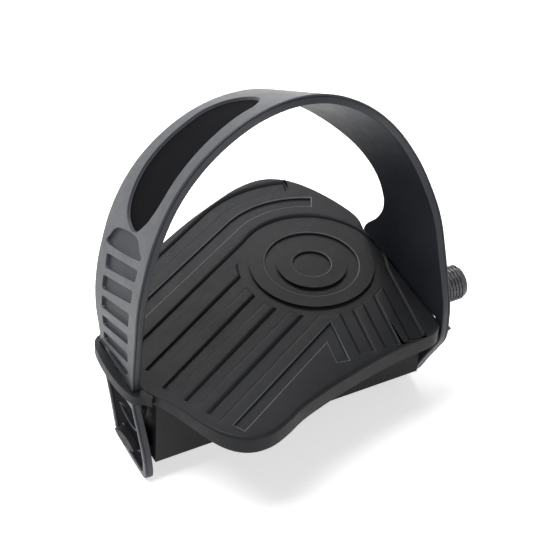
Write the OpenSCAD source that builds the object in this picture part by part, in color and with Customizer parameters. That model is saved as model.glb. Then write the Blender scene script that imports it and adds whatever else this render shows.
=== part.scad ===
// Exercise bike pedal: a one-piece platform that turns on its spindle on two
// rows of loose balls, with a flexible foot strap arched over the tread.
// X runs along the spindle towards the crank, Y is the way the toes point, Z is up.
// The origin is on the spindle axis, in the shoulder face that seats on the crank.

/* [Spindle] */
// Major diameter of the crank thread
thread_d = 12.7; // [12.7:0.001:14.288]
// Length of the crank thread past the shoulder
thread_len = 14; // [11:0.5:17]
// Diameter of the collar with the spanner flats
collar_d = 18; // [16:0.5:20]
// Distance across the spanner flats
flat_w = 15; // [13:0.5:17]
// Diameter of the journal behind the collar
journal_d = 13; // [11:0.5:15]
// Diameter of the spindle between the two ball rows
shank_d = 9.5; // [9:0.1:9.6]
// Diameter of the outer end that takes the cone and the nut
tail_d = 8; // [7:0.5:9]

/* [Bearings] */
// Ball diameter of both rows
ball_d = 3.969; // [3.175:0.001:4.763]
// Pitch circle diameter of the crank side row
inner_pcd = 14; // [13.8:0.1:14.5]
// Pitch circle diameter of the outer row
outer_pcd = 13; // [12.6:0.1:13.5]
// Balls in the crank side row
inner_balls = 10; // [7:1:10]
// Balls in the outer row
outer_balls = 9; // [6:1:9]
// Position of the crank side row along the spindle
inner_x = 20; // [19:0.5:24]
// Distance of the outer row inside the outer end of the box
outer_in = 14.5; // [14:0.5:22]

/* [Platform] */
// Height of the tread above the spindle axis
tread_z = 13; // [13:0.5:18]
// Thickness of the tread plate
plate_t = 3.2; // [2.4:0.1:4]
// Depth of the skirt round the platform
skirt_h = 7; // [5:0.5:10]
// Thickness of the skirt and the ribs
wall_t = 2.4; // [1.8:0.1:3]
// Distance from the crank face to the crank side wall of the moulding
wall_in = 12.1; // [12:0.1:13]
// Distance from the crank face to the outer end of the platform
wall_out = 117.6; // [116.5:0.1:121]
// Number of ribs across the underside
rib_n = 4; // [2:1:8]

/* [Tread] */
// Depth of the tread grooves
groove_h = 0.9; // [0.4:0.1:1.4]
// Pitch of the tread bars
bar_pitch = 9.3; // [8.8:0.05:9.8]
// Width of the tread grooves
groove_w = 4.1; // [3:0.1:5]
// Direction of the long bars, from the X axis
bar_dir = 209.2; // [200:0.2:215]
// Direction of the short bars, from the X axis
short_dir = 260; // [250:1:270]

/* [Housing] */
// Half width of the box round the spindle
box_hw = 17.4; // [15:0.1:20]
// Depth of the box below the spindle axis
box_z = 19; // [17:0.5:24]
// Distance of the outer end of the box inside the outer end of the platform
end_in = 3.1; // [2.6:0.1:5]
// Wall of the bearing tube round the cups
tube_wall = 1.8; // [1.4:0.1:2]
// Bore of the bearing tube between the cups
bore_d = 16; // [14:0.5:16.5]

/* [Strap] */
// Thickness of the strap
strap_t = 3; // [2:0.1:3]
// Rise of the arch in its own leaning plane
arch_h = 62.8; // [60:0.1:66]
// Radius of the top of the arch
top_r = 43; // [41:0.5:46]
// Backward lean of the arch
lean = 32.2; // [31:0.1:33.5]
// Depth of the recesses in the outer face
pocket_h = 1; // [0.4:0.1:1.4]

/* [Clearances] */
// Radial running clearance at each ball row
run_c = 0.02; // [0.01:0.01:0.1]
// Gap between the strap and the moulding
strap_gap = 0.35; // [0.2:0.05:0.6]

/* [Hidden] */
$fn = 96;
tread_c = [-38, 18];
mid_x = -(wall_in + wall_out) / 2;
box_out = wall_out - end_in;
outer_x = box_out - outer_in;
seal_in = 1.1;
seal_t = 2.6;
washer_t = 1.2;
washer_od = 13;
nut_w = 13;
nut_t = 4;
nut_x = outer_x + 5.2 + washer_t;
rib_x = [for (i = [1 : rib_n]) -wall_in - i * (box_out - wall_in) / (rib_n + 1) - wall_t / 2];
pivot = [mid_x, 0, 31.8];
rib_up = 3;
loop_z = tread_z - 4;
loop_h = 3.8;
loop_t = 2.6;
leg_near = -12.5;
leg_far = 13;
lug_z = -16.3;
tail_y = -6;
tail_z = -22;
leg_z = tread_z - 4.2;
foot_y = 27.3;
tail_lean = 1.2;
rim_w = 2.4;
rim_h = 0.6;
button_y = 21;
button_z = 8;
cup_wall = 1.2;
cup_od_in = inner_pcd + ball_d + 2 * cup_wall;
cup_od_out = outer_pcd + ball_d + 2 * cup_wall;
tube_d = cup_od_in + 2 * tube_wall;
strap_hw = (wall_out - wall_in) / 2 + strap_gap + strap_t;
tail_end = outer_x + 11;
ring_r = [6.7, 12.05, 16.5, 21.65, 25.9];
long_t = -16.4;
short_t = -7.4;
black = [0.06, 0.06, 0.065];
steel = [0.62, 0.63, 0.65];

function dir(a) = [cos(a), sin(a)];
// One point of a smooth closed curve through the points p
function cr(p, i, t) = let (n = len(p), a = p[(i + n - 1) % n], b = p[i], c = p[(i + 1) % n],
    d = p[(i + 2) % n]) 0.5 * (2 * b + (c - a) * t + (2 * a - 5 * b + 4 * c - d) * t * t
    + (3 * b - a - 3 * c + d) * t * t * t);
function smooth(p, n) = [for (i = [0 : len(p) - 1]) for (k = [0 : n - 1]) cr(p, i, k / n)];
function unit(v) = v / max(norm(v), 1e-9);
// The outline p moved inwards by d, for a curve that runs counter-clockwise
function inset(p, d) = let (n = len(p)) [for (i = [0 : n - 1])
    let (e = unit(p[(i + 1) % n] - p[(i + n - 1) % n])) p[i] + d * [-e[1], e[0]]];

// Platform outline, counter-clockwise from the far outer corner
plate_pts = [[-117.6, 6], [-117.6, -3], [-117.4, -11.5], [-116, -15.6], [-113.6, -19.4],
    [-109.8, -26.4], [-105.5, -36], [-101, -42.5], [-95, -46.6], [-88, -47.2], [-81, -45],
    [-73, -41.2], [-63, -38], [-52, -35.2], [-40, -32.6], [-30, -31], [-21, -30.2],
    [-15.5, -29.2], [-12.4, -26], [-11.9, -18], [-12, 0], [-12, 16], [-11.6, 26], [-10.4, 33],
    [-12, 41], [-16.5, 52], [-22, 60.5], [-28, 65.4], [-35, 67.2], [-44, 66], [-54, 62.4],
    [-66, 57.4], [-78, 51.4], [-90, 44.6], [-101, 36.4], [-109.6, 27.6],
    [-115.4, 18.4], [-117.4, 12.5]];
plate = smooth([for (p = plate_pts)
    [-wall_in - (-12.1 - p[0]) * (wall_out - wall_in) / 105.5, p[1]]], 4);

module side_x(x0, x1) {
    translate([x0, 0, 0]) rotate([90, 0, 90]) linear_extrude(x1 - x0) children();
}
module along_x(x0, d, l) { translate([x0, 0, 0]) rotate([0, 90, 0]) cylinder(d = d, h = l); }
module cone_x(x0, d0, d1, l) {
    translate([x0, 0, 0]) rotate([0, 90, 0]) cylinder(d1 = d0, d2 = d1, h = l);
}

// Point s along a direction a and t to its left
function along(a, s, t) = s * dir(a) + t * dir(a + 90);
// Where the line t1 left of direction a1 crosses the line t2 left of direction a2
function cross_at(a1, t1, a2, t2) = let (u = dir(a1 + 90), v = dir(a2 + 90))
    [t1 * v[1] - t2 * u[1], t2 * u[0] - t1 * v[0]] / (u[0] * v[1] - u[1] * v[0]);
// Start of a groove between t0 and t1 inside the wide round groove
function start(t0, t1) = let (lo = min(abs(t0), abs(t1)), hi = max(abs(t0), abs(t1)))
    (sqrt(max(ring_r[3] * ring_r[3] - lo * lo, 0)) + sqrt(max(ring_r[4] * ring_r[4] - hi * hi, 0))) / 2;

module band(r0, r1) { difference() { circle(r1); circle(r0); } }
module strip(a, t, s0, s1) {
    polygon([along(a, s0, t), along(a, s1, t), along(a, s1, t + groove_w), along(a, s0, t + groove_w)]);
}
// Groove that runs round the rings from angle a0 and on along a long bar
module swept_groove(r0, r1, a0, s1) {
    n = 14;
    a1 = bar_dir - 90;
    polygon(concat([for (i = [0 : n]) r1 * dir(a0 + (a1 - a0) * i / n)],
        [along(bar_dir, s1, -r1), along(bar_dir, s1, -r0)],
        [for (i = [n : -1 : 0]) r0 * dir(a0 + (a1 - a0) * i / n)]));
}
// Grooves of the tread as one flat shape, drawn round the middle of the rings
module grooves() {
    circle(ring_r[0]);
    band(ring_r[1], ring_r[2]);
    band(ring_r[3], ring_r[4]);
    strip(bar_dir, -25.6, 3, 76);
    swept_groove(31.2, 35.8, 62, 69);
    swept_groove(40.9, 45.2, 75, 55);
    for (k = [0 : 3]) let (t = long_t + k * bar_pitch)
        strip(bar_dir, t, start(t, t + groove_w), k == 0 ? 76.5 : 79.8);
    for (k = [1 : 3]) let (t = short_t + k * bar_pitch)
        strip(short_dir, t, start(t, t + groove_w), 47.2 - k * 1.2);
    // Chevron: the last long groove and the first short one meet in a point
    b = long_t + 4 * bar_pitch;
    polygon([cross_at(bar_dir, b, short_dir, short_t + groove_w), along(bar_dir, 79.8, b),
        along(bar_dir, 79.8, b + groove_w), cross_at(bar_dir, b + groove_w, short_dir, short_t),
        along(short_dir, 48.4, short_t), along(short_dir, 48.4, short_t + groove_w)]);
}
// Plan of the loop that the strap passes through at the outer end
module loop_plan() {
    difference() {
        x = mid_x - strap_hw - strap_gap - loop_t;
        polygon(smooth([[x + 8.5, leg_near - 3], [x + 5.5, leg_near - 3.4], [x + 2.6, leg_near - 1.8],
            [x + 0.9, leg_near + 3], [x, leg_near + 10], [x, leg_far - 7], [x + 0.8, leg_far - 0.5],
            [x + 2.6, leg_far + 2.4], [x + 5.5, leg_far + 3.4], [x + 8.5, leg_far + 2]], 5));
        translate([x + loop_t, leg_near - strap_gap])
            square([strap_t + 2 * strap_gap, leg_far - leg_near + 2 * strap_gap]);
    }
}
// One headed button that the wide end of the strap hooks over
module button(y) {
    translate([0, y, button_z]) {
        along_x(-wall_in - 0.5, 7, wall_in + 0.5 - 5.2);
        cone_x(-8.4, 10, 8.5, 3.2);
    }
}

module pedal_body() color(black) difference() {
    union() {
        translate([0, 0, tread_z - plate_t]) linear_extrude(plate_t) polygon(plate);
        // Skirt, shallower by the strap loop
        difference() {
            translate([0, 0, tread_z - skirt_h]) linear_extrude(skirt_h) difference() {
                polygon(plate);
                polygon(inset(plate, wall_t));
            }
            translate([-wall_out - 1, -60, tread_z - skirt_h - 1]) cube([12.4, 130, 3.3]);
        }
        // Box round the spindle, open below
        difference() {
            translate([-box_out, -box_hw, -box_z])
                cube([box_out - wall_in, 2 * box_hw, box_z + tread_z - 1]);
            translate([-box_out + wall_t, -box_hw + wall_t, -box_z - 1])
                cube([box_out - wall_in - 2 * wall_t - 0.6, 2 * (box_hw - wall_t),
                    box_z + tread_z - plate_t + 1]);
        }
        along_x(-box_out, tube_d, box_out - wall_in);
        // Ribs across the box, up to the tube
        for (x = rib_x) difference() {
            translate([x, -box_hw + 1, -box_z + rib_up])
                cube([wall_t, 2 * box_hw - 2, box_z - rib_up + tread_z - plate_t + 1]);
            along_x(x - 1, tube_d - 1, wall_t + 2);
        }
        // Ribs from the box out to the skirt
        intersection() {
            translate([0, 0, tread_z - skirt_h + 1]) linear_extrude(skirt_h - 2)
                polygon(inset(plate, 1));
            for (x = rib_x) {
                translate([x, box_hw - 1, 0]) cube([wall_t, 70, 20]);
                translate([x, -box_hw - 50, 0]) cube([wall_t, 51, 20]);
            }
        }
        translate([0, 0, loop_z]) linear_extrude(loop_h) loop_plan();
        // Lug that the tail of the strap hooks over
        side_x(mid_x - strap_hw - 1.6, wall_t - box_out) translate([tail_y, lug_z]) lens(strap_gap);
        for (s = [-1, 1]) button(s * button_y);
    }
    // Notch in the crank side edge for the foot of the strap
    translate([mid_x + strap_hw - strap_t - strap_gap, -foot_y - strap_gap, tread_z - skirt_h - 1])
        cube([strap_t + 9, 2 * (foot_y + strap_gap), skirt_h + 2]);
    // Tread
    translate([tread_c[0], tread_c[1], tread_z - groove_h]) linear_extrude(3) grooves();
    // Bore through the tube, with the two cup seats
    along_x(-box_out - 1, bore_d, box_out);
    along_x(-inner_x - 4, cup_od_in, 20);
    along_x(-box_out - 1, cup_od_out, box_out + 1 - outer_x + 4);
}

// Arch seen along its lean, e inside the outer face: a leg, the side arc and the top arc
// of one half, tangent to each other, and the same mirrored
function arch_half(e) = let (c = arch_h - top_r,
    side_r = (strap_hw * strap_hw + c * c - top_r * top_r) / (2 * (strap_hw - top_r)),
    a = atan2(c, side_r - strap_hw))
    concat([[strap_hw - e, -70]],
        [for (i = [0 : 20]) [strap_hw - side_r, 0] + (side_r - e) * dir(a * i / 20)],
        [for (i = [1 : 16]) [0, c] + (top_r - e) * dir(a + (90 - a) * i / 16)]);
module arch_2d(e) {
    half = arch_half(e);
    polygon(concat(half, [for (i = [len(half) - 2 : -1 : 0]) [-half[i][0], half[i][1]]]));
}
// Shell of the arch between two depths under its outer face, leaning back
module arch_shell(e0, e1) {
    translate(pivot) rotate([-lean, 0, 0]) translate([0, 75, 0]) rotate([90, 0, 0])
        linear_extrude(140) difference() { arch_2d(e0); arch_2d(e1); }
}
// Side outlines of the strap: near edge up, far edge down, in Y and Z
near_l = [[leg_near, leg_z], [-12.9, 20], [-13.9, 31], [-14.8, 41.5], [-15, 52], [-14.4, 62.9],
    [-12, 74.9], [-8.8, 87], [-7, 96], [-6.1, 103], [-5.9, 109.7], [-5.9, 120]];
far_l = [[33, 110], [33, 96], [33.1, 88], [34.2, 82.8], [34.6, 79], [34, 73], [32.4, 67], [30, 61],
    [27, 54.6], [23.8, 48], [21.2, 40], [18.9, 32.5], [16, 24], [13.6, 17.5], [leg_far, 12],
    [leg_far, leg_z]];
near_r = [[-5, -28.6], [-10.5, -26], [-14.5, -21.5], [-19.5, -11], [-24, -2], [-27, 5], [-27, 13],
    [-26, 20], [-23.4, 27.5], [-19.8, 36], [-14.2, 49.6], [-9.6, 60.1], [-6.8, 69.7], [-5.2, 78],
    [-4.6, 89], [-5.1, 99.7], [-5.9, 109.7], [-5.9, 120]];
far_r = [[33, 110], [33, 96], [33.1, 88], [33.8, 81], [33.6, 74], [32, 68.6], [29.6, 64.8],
    [26.4, 61], [23.2, 57], [20.2, 51.8], [17.8, 46.3], [16.3, 40], [15.8, 35.4], [16.4, 31],
    [18, 27], [20.6, 22.6], [24, 18.4], [26.6, 14.4], [27.3, 10], [27, 5], [24, -2], [19.5, -11],
    [14.5, -21.5], [10.5, -26], [5, -28.6]];
// Open curve through the points p
function crv(p, n) = let (q = concat([2 * p[0] - p[1]], p, [2 * p[len(p) - 1] - p[len(p) - 2]]))
    concat([for (i = [1 : len(q) - 3]) for (k = [0 : n - 1]) cr(q, i, k / n)], [p[len(p) - 1]]);

// Side outline of the tail, d inside its rim
function tail_2d(d) = [[leg_far - d, leg_z - d], [tail_y + 10.5 - d, lug_z],
    [tail_y + 8.5 - d, tail_z + d], [tail_y - 8 + d, tail_z + d], [leg_near + d, leg_z - d]];
// Lens shape of the tail slots, c smaller all round for the lug
module lens(c) {
    intersection() {
        translate([0, 7]) circle(9.7 - c);
        translate([0, -7]) circle(9.7 - c);
    }
}
module oval_yz() {
    polygon(crv([[0.3, 69.4], [2.9, 66.4], [7.5, 64.6], [13.2, 64.1], [18.3, 65.7], [23.4, 70.3],
        [26.5, 76.9], [27.6, 86], [27.6, 110], [1.5, 110], [1.5, 98.3], [-1.2, 87.6], [-2.9, 79.8],
        [-2, 73.6], [0.3, 69.4]], 3));
}
module foot_strap() color([0.11, 0.12, 0.14]) {
    difference() {
        union() {
            // Outer half of the arch
            intersection() {
                arch_shell(0, strap_t);
                side_x(mid_x - 70, mid_x) polygon(concat(crv(near_l, 4), crv(far_l, 4)));
            }
            // Crank side half of the arch, wider at its foot
            intersection() {
                arch_shell(0, strap_t);
                side_x(mid_x, mid_x + 70) polygon(concat(crv(near_r, 4), crv(far_r, 4)));
            }
            // Tail below the loop, leaning in and growing narrower
            intersection() {
                translate([mid_x - strap_hw, 40, 0]) rotate([90, 0, 0]) linear_extrude(80)
                    polygon([[0, leg_z], [tail_lean, tail_z], [tail_lean + strap_t, tail_z],
                        [strap_t, leg_z]]);
                side_x(mid_x - strap_hw - 1, mid_x) polygon(tail_2d(0));
            }
        }
        // Hole for the spindle and the two button holes
        along_x(mid_x + strap_hw - 10, 23, 20);
        for (s = [-1, 1]) translate([0, s * button_y, button_z])
            along_x(mid_x + strap_hw - 10, 7.6, 20);
        // Through slots in the tail
        for (z = [lug_z, lug_z + 10.6]) side_x(mid_x - strap_hw - 5, mid_x - strap_hw + 10)
            translate([tail_y, z]) lens(0);
        // Long oval recess
        intersection() {
            arch_shell(-2, pocket_h);
            side_x(mid_x - 70, mid_x) oval_yz();
            linear_extrude(200) union() {
                translate([-140, -40]) square([140 - 80, 140]);
                translate([-80, 14.5]) circle(13);
            }
        }
        // Rounded recess below it
        intersection() {
            arch_shell(-2, pocket_h);
            side_x(mid_x - 70, mid_x) polygon(crv([[17.8, 50.9], [18.6, 53.6], [17.1, 56.8],
                [13.3, 59.9], [5, 64.5], [-1.1, 66.8], [-4.4, 66.1], [-7.4, 64.2], [17.8, 50.9]], 3));
        }
        // Half-round recess at the foot of the ladder
        intersection() {
            arch_shell(-2, pocket_h);
            side_x(mid_x - 70, mid_x) polygon(crv([[-8.2, 19.3], [-7.8, 16.8], [-5.1, 14.6],
                [0.9, 13.6], [6.4, 13.6], [8.6, 14.2], [8.6, 15.2]], 3));
        }
        // Panel between the rims of the tail
        intersection() {
            translate([mid_x - strap_hw, 40, 0]) rotate([90, 0, 0]) linear_extrude(80)
                polygon([[-3, leg_z], [-3, tail_z], [rim_h + tail_lean, tail_z], [rim_h, leg_z]]);
            side_x(mid_x - strap_hw - 4, mid_x) polygon(tail_2d(rim_w));
        }
        // Small notch in the near edge, through the outer half of the wall
        intersection() {
            arch_shell(-2, strap_t / 2);
            side_x(mid_x, mid_x + 70) polygon([[-11, 68], [-5.6, 69], [-4, 73.7], [-9, 74.7]]);
        }
        // Ladder of recesses down the leg
        for (i = [0 : 4]) intersection() {
            arch_shell(-2, pocket_h);
            side_x(mid_x - 70, mid_x) polygon(ladder[i]);
        }
    }
}
// Corners of each recess: far low, near low, near high, far high
ladder = [
    [[13, 45.1], [-9.1, 57.5], [-9, 61.7], [15, 49.1]],
    [[12, 37.4], [-9.4, 49.3], [-9.3, 54.1], [13, 42.1]],
    [[10.6, 30.6], [-9.1, 39.3], [-9.3, 44.9], [11.4, 34.9]],
    [[9, 24], [-8.8, 31.2], [-8.9, 35.3], [10, 27.4]],
    [[8.4, 17.6], [-8.8, 23], [-8.7, 27.2], [8.8, 20.8]]];

module race(x, pcd, c) {
    translate([-x, 0, 0]) rotate([0, 90, 0]) rotate_extrude() translate([pcd / 2, 0])
        circle(ball_d / 2 + c, $fn = 64);
}
// Solid of revolution round the spindle axis, from points of radius and X
module turned(p) { rotate([0, 90, 0]) rotate_extrude() polygon(p); }

module spindle() color(steel) difference() {
    union() {
        turned([[0, -tail_end], [tail_d / 2 - 0.6, -tail_end], [tail_d / 2, -tail_end + 0.6],
            [tail_d / 2, -outer_x + 4], [shank_d / 2, -outer_x + 6], [shank_d / 2, -inner_x - 2],
            [5.4, -inner_x - 0.4], [journal_d / 2, -inner_x + 1.8], [journal_d / 2, -7.4],
            [collar_d / 2 - 0.5, -7.4], [collar_d / 2, -6.9], [collar_d / 2, -0.5],
            [collar_d / 2 - 0.5, 0], [thread_d / 2, 0], [thread_d / 2, thread_len - 1],
            [thread_d / 2 - 1, thread_len],
            [0, thread_len]]);
    }
    race(inner_x, inner_pcd, run_c);
    // Spanner flats on the collar
    for (s = [-1, 1]) translate([-9, s > 0 ? flat_w / 2 : -flat_w / 2 - 10, -15]) cube([7.6, 10, 30]);
    // Keyway along the threaded tail
    translate([-tail_end - 1, -1.2, tail_d / 2 - 1.1]) cube([tail_end - outer_x + 5, 2.4, 4]);
}
module inner_cup() color(steel) difference() {
    turned([[inner_pcd / 2 + 0.4, -inner_x - 4], [cup_od_in / 2, -inner_x - 4],
        [cup_od_in / 2, -inner_x + 3.4], [cup_od_in / 2 - 1.2 + 0.005, -inner_x + 3.4],
        [cup_od_in / 2 - 1.2, -inner_x], [inner_pcd / 2 + 0.4, -inner_x - 1]]);
    race(inner_x, inner_pcd, run_c);
}
module outer_cup() color(steel) difference() {
    turned([[outer_pcd / 2 + 0.4, -outer_x + 4], [cup_od_out / 2, -outer_x + 4],
        [cup_od_out / 2, -outer_x - 3.4], [cup_od_out / 2 - 1.2 + 0.005, -outer_x - 3.4],
        [cup_od_out / 2 - 1.2, -outer_x], [outer_pcd / 2 + 0.4, -outer_x + 1]]);
    race(outer_x, outer_pcd, run_c);
}
module ball(x, pcd, n, i) {
    translate([-x, pcd / 2 * cos(360 * i / n), pcd / 2 * sin(360 * i / n)])
        color(steel) sphere(d = ball_d, $fn = 40);
}
module outer_cone() color(steel) difference() {
    turned([[tail_d / 2, -outer_x - 5.2], [5.8, -outer_x - 5.2], [6.3, -outer_x - 4.7],
        [6.3, -outer_x - 1.6], [5.2, -outer_x + 0.4], [4.6, -outer_x + 1.4], [tail_d / 2, -outer_x + 1.4]]);
    race(outer_x, outer_pcd, run_c);
}
module key_washer() color(steel) {
    difference() {
        along_x(-nut_x, washer_od, washer_t);
        along_x(-nut_x - 1, tail_d, washer_t + 2);
    }
    translate([-nut_x, -1.1, tail_d / 2 - 1]) cube([washer_t, 2.2, 1.4]);
}
module lock_nut() color(steel) difference() {
    intersection() {
        translate([-nut_x - nut_t, 0, 0]) rotate([0, 90, 0])
            cylinder(d = nut_w / cos(30), h = nut_t, $fn = 6);
        turned([[0, -nut_x - nut_t], [nut_w / 2 - 0.1, -nut_x - nut_t],
            [nut_w / 2 + 1.1, -nut_x - nut_t + 0.8], [nut_w / 2 + 1.1, -nut_x - 0.8],
            [nut_w / 2 - 0.1, -nut_x], [0, -nut_x]]);
    }
    along_x(-nut_x - nut_t - 1, tail_d, nut_t + 3);
}
module dust_cap() color(black) difference() {
    union() {
        cone_x(-box_out - 1.2, cup_od_out - 1.6, cup_od_out, 0.8);
        along_x(-box_out - 0.4, cup_od_out, 3);
    }
    along_x(-box_out + 0.4, cup_od_out - 3, 4);
}
module inner_seal() color([0.05, 0.05, 0.05]) difference() {
    along_x(-wall_in - seal_in - seal_t, cup_od_in, seal_t);
    along_x(-wall_in - seal_in - seal_t - 1, journal_d + 0.12, seal_t + 2);
}

module inner_ball_1() { ball(inner_x, inner_pcd, inner_balls, 0); }
module outer_ball_1() { ball(outer_x, outer_pcd, outer_balls, 0); }
module inner_ball_2() { ball(inner_x, inner_pcd, inner_balls, 1); }
module inner_ball_3() { ball(inner_x, inner_pcd, inner_balls, 2); }
module inner_ball_4() { ball(inner_x, inner_pcd, inner_balls, 3); }
module inner_ball_5() { ball(inner_x, inner_pcd, inner_balls, 4); }
module inner_ball_6() { ball(inner_x, inner_pcd, inner_balls, 5); }
module inner_ball_7() { ball(inner_x, inner_pcd, inner_balls, 6); }
module inner_ball_8() { ball(inner_x, inner_pcd, inner_balls, 7); }
module inner_ball_9() { ball(inner_x, inner_pcd, inner_balls, 8); }
module inner_ball_10() { ball(inner_x, inner_pcd, inner_balls, 9); }
module outer_ball_2() { ball(outer_x, outer_pcd, outer_balls, 1); }
module outer_ball_3() { ball(outer_x, outer_pcd, outer_balls, 2); }
module outer_ball_4() { ball(outer_x, outer_pcd, outer_balls, 3); }
module outer_ball_5() { ball(outer_x, outer_pcd, outer_balls, 4); }
module outer_ball_6() { ball(outer_x, outer_pcd, outer_balls, 5); }
module outer_ball_7() { ball(outer_x, outer_pcd, outer_balls, 6); }
module outer_ball_8() { ball(outer_x, outer_pcd, outer_balls, 7); }
module outer_ball_9() { ball(outer_x, outer_pcd, outer_balls, 8); }

pedal_body();
foot_strap();
spindle();
inner_cup();
outer_cup();
inner_ball_1();
inner_ball_2();
inner_ball_3();
inner_ball_4();
inner_ball_5();
inner_ball_6();
inner_ball_7();
inner_ball_8();
inner_ball_9();
inner_ball_10();
outer_ball_1();
outer_ball_2();
outer_ball_3();
outer_ball_4();
outer_ball_5();
outer_ball_6();
outer_ball_7();
outer_ball_8();
outer_ball_9();
outer_cone();
key_washer();
lock_nut();
dust_cap();
inner_seal();
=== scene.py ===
# %% [markdown]
# # An exercise bike pedal, dressed for a portrait
# The pedal is a black moulded platform that turns on a steel spindle, with a softer strap arched
# over the tread. The construction is already there as a fixed frame, so this lesson adds what a
# camera sees: soft mould edges, the grain of the plastic, the thread, light and a camera.

import math

import bmesh
import bpy
import numpy as np
from mathutils import Matrix, Vector


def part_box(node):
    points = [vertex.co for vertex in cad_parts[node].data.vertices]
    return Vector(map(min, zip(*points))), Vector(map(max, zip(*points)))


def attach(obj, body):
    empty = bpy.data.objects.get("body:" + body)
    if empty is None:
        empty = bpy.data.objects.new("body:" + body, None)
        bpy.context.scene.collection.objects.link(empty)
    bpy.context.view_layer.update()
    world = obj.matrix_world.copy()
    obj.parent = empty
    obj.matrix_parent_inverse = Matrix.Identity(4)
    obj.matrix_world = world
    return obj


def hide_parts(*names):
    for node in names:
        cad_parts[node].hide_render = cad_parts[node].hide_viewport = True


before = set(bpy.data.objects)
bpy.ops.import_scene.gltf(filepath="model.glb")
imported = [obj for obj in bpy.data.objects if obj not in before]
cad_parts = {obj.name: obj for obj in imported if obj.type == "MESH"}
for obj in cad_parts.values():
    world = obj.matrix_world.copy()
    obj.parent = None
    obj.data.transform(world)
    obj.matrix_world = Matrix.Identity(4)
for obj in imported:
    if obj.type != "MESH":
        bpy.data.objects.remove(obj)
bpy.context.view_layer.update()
MM = 0.001
scene = bpy.context.scene
print("nodes:", len(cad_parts))

# %% [markdown]
# Every size below starts from the frame. A node's box is in metres, and plastic parts are easier
# to think about in millimetres, so one helper converts it.


# %% Read the main sizes
def box_mm(node):
    low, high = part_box(node)
    return [c / MM for c in low], [c / MM for c in high]


strap_low, strap_high = box_mm("foot_strap")
body_low, body_high = box_mm("pedal_body")
shaft_low, shaft_high = box_mm("spindle")
mid_x = (strap_low[0] + strap_high[0]) / 2
strap_hw = (strap_high[0] - strap_low[0]) / 2
print(f"strap is {2 * strap_hw:.1f} mm wide, spindle is {shaft_high[0] - shaft_low[0]:.1f} mm long")


# %% [markdown]
# ## Finishes
# The platform is injection-moulded with a fine spark-eroded grain, the strap is a smoother and
# slightly bluish plastic, and the spindle is blackened steel. Nothing here is a photograph of a
# surface: each finish is a small set of nodes that read Object coordinates, so that the pattern
# stays on the piece when the pedal turns.


# %% A helper that starts a finish
def new_finish(name, colour, roughness, metallic=0.0, specular=0.5):
    finish = bpy.data.materials.new(name)
    finish.use_nodes = True
    shader = finish.node_tree.nodes["Principled BSDF"]
    shader.inputs["Base Color"].default_value = (*colour, 1)
    shader.inputs["Roughness"].default_value = roughness
    shader.inputs["Metallic"].default_value = metallic
    shader.inputs["Specular IOR Level"].default_value = specular
    return finish, finish.node_tree, shader


def add_noise(tree, scale_per_m, detail=3.0, rough=0.55):
    place = tree.nodes.new("ShaderNodeTexCoord")
    noise = tree.nodes.new("ShaderNodeTexNoise")
    noise.inputs["Scale"].default_value = scale_per_m
    noise.inputs["Detail"].default_value = detail
    noise.inputs["Roughness"].default_value = rough
    tree.links.new(place.outputs["Object"], noise.inputs["Vector"])
    return noise


def add_ramp(tree, source, low, high, value_low, value_high):
    ramp = tree.nodes.new("ShaderNodeMapRange")
    ramp.inputs["From Min"].default_value = low
    ramp.inputs["From Max"].default_value = high
    ramp.inputs["To Min"].default_value = value_low
    ramp.inputs["To Max"].default_value = value_high
    tree.links.new(source, ramp.inputs["Value"])
    return ramp.outputs["Result"]


def add_bump(tree, shader, height, strength, distance):
    bump = tree.nodes.new("ShaderNodeBump")
    bump.inputs["Strength"].default_value = strength
    bump.inputs["Distance"].default_value = distance
    tree.links.new(height, bump.inputs["Height"])
    tree.links.new(bump.outputs["Normal"], shader.inputs["Normal"])
    return bump


def tint(tree, shader, source, dark, light):
    """Base colour that drifts between two tones with a pattern from 0 to 1."""
    mix = tree.nodes.new("ShaderNodeMix")
    mix.data_type = "RGBA"
    mix.inputs[6].default_value = (*dark, 1)
    mix.inputs[7].default_value = (*light, 1)
    tree.links.new(source, mix.inputs[0])
    tree.links.new(mix.outputs[2], shader.inputs["Base Color"])
    return mix


# %% [markdown]
# Moulded plastic has two scales of detail: a grain of about a third of a millimetre that breaks
# the highlights up, and slow cloudy patches where the melt cooled at a different speed. The first
# goes to the bump, the second to roughness and colour. Where a face carries a mark, a second helper
# blends to another tone and gloss: painted shade on recess floors, and a painted highlight, lighter
# than the plastic, on groove edges that are also really glossier.


# %% Moulded plastic
def mark_faces(tree, shader, tone, haze, attribute, colour, dull, mirror):
    """Other colour and roughness where a face attribute is 1, used for painted shade on recess
    floors and a painted highlight on glossier edges.
    """
    mark = tree.nodes.new("ShaderNodeAttribute")
    mark.attribute_name = attribute
    mix = tree.nodes.new("ShaderNodeMix")
    mix.data_type = "RGBA"
    tree.links.new(mark.outputs["Fac"], mix.inputs[0])
    tree.links.new(tone.outputs[2], mix.inputs[6])
    mix.inputs[7].default_value = (*colour, 1)
    tree.links.new(mix.outputs[2], shader.inputs["Base Color"])
    rough = tree.nodes.new("ShaderNodeMix")
    tree.links.new(mark.outputs["Fac"], rough.inputs[0])
    tree.links.new(haze, rough.inputs[2])
    rough.inputs[3].default_value = dull
    tree.links.new(rough.outputs[0], shader.inputs["Roughness"])
    shine = tree.nodes.new("ShaderNodeMix")
    tree.links.new(mark.outputs["Fac"], shine.inputs[0])
    shine.inputs[2].default_value = shader.inputs["Specular IOR Level"].default_value
    shine.inputs[3].default_value = mirror
    tree.links.new(shine.outputs[0], shader.inputs["Specular IOR Level"])


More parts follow.
